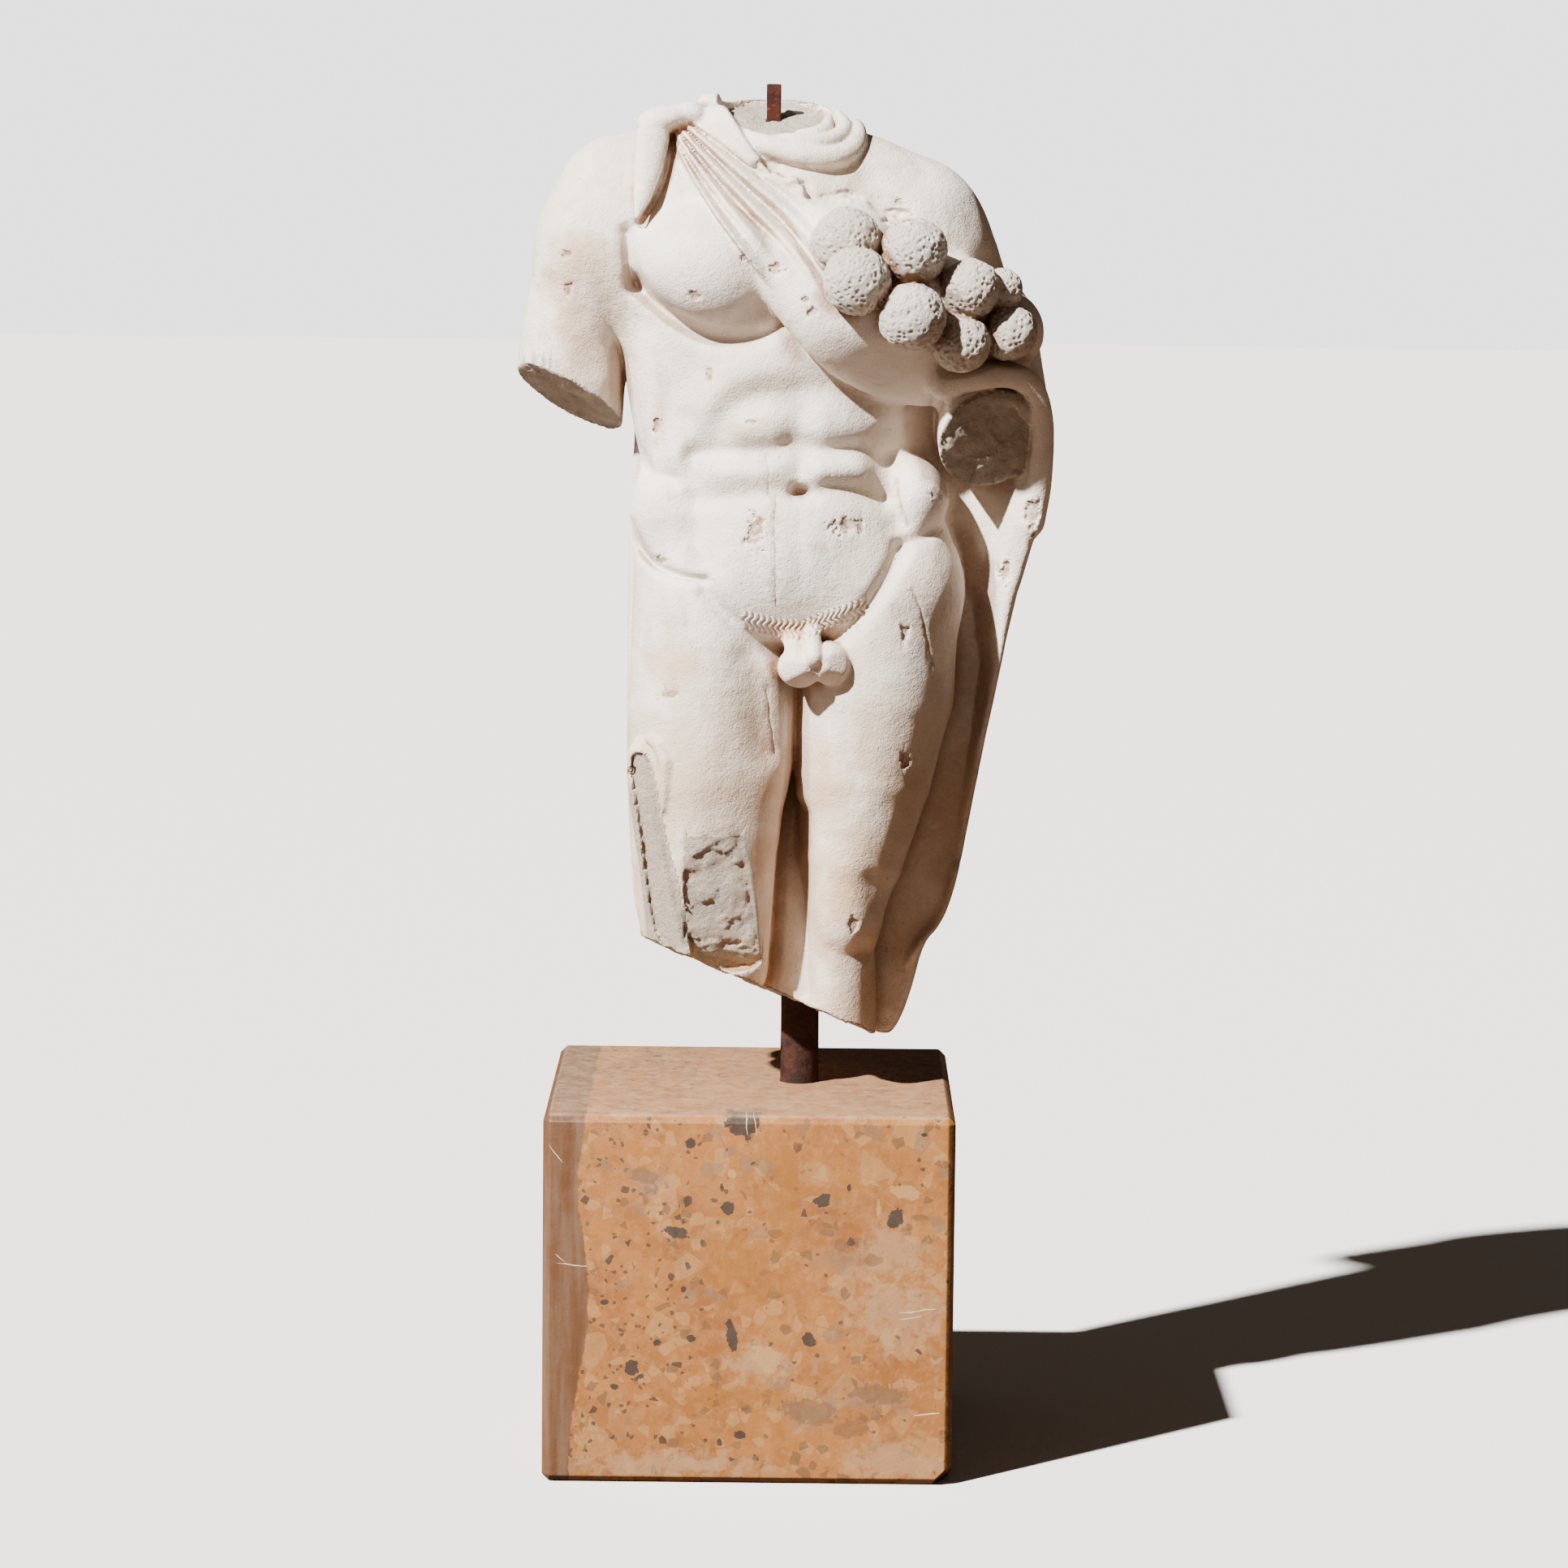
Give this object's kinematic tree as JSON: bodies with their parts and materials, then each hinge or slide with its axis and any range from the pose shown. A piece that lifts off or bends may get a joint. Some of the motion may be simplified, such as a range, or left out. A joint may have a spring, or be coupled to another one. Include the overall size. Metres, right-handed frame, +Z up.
{
  "type": "broken marble torso with a cloak of fruit, on a stone block",
  "caption": "Marble statue of a standing nude broken at neck, arms and knees, with a cloak full of fruit, held by an iron post above a breccia block.",
  "frame": {"origin": "middle of the underside of the stone block", "axes": "+Z up, -Y to the viewer who faces the statue, +X to that viewer's right"},
  "size_m": [0.5966, 0.45, 1.526],
  "materials": {
    "marble": "worn, finely pebbled, with warm stains",
    "breccia": "smoothly honed",
    "post_iron": "dark brown rust",
    "bar_iron": "orange rust"
  },
  "bodies": {
    "root": {"marble_torso": "marble", "plinth": "breccia", "support_post": "post_iron", "neck_bar": "bar_iron"}
  },
  "joints": []
}
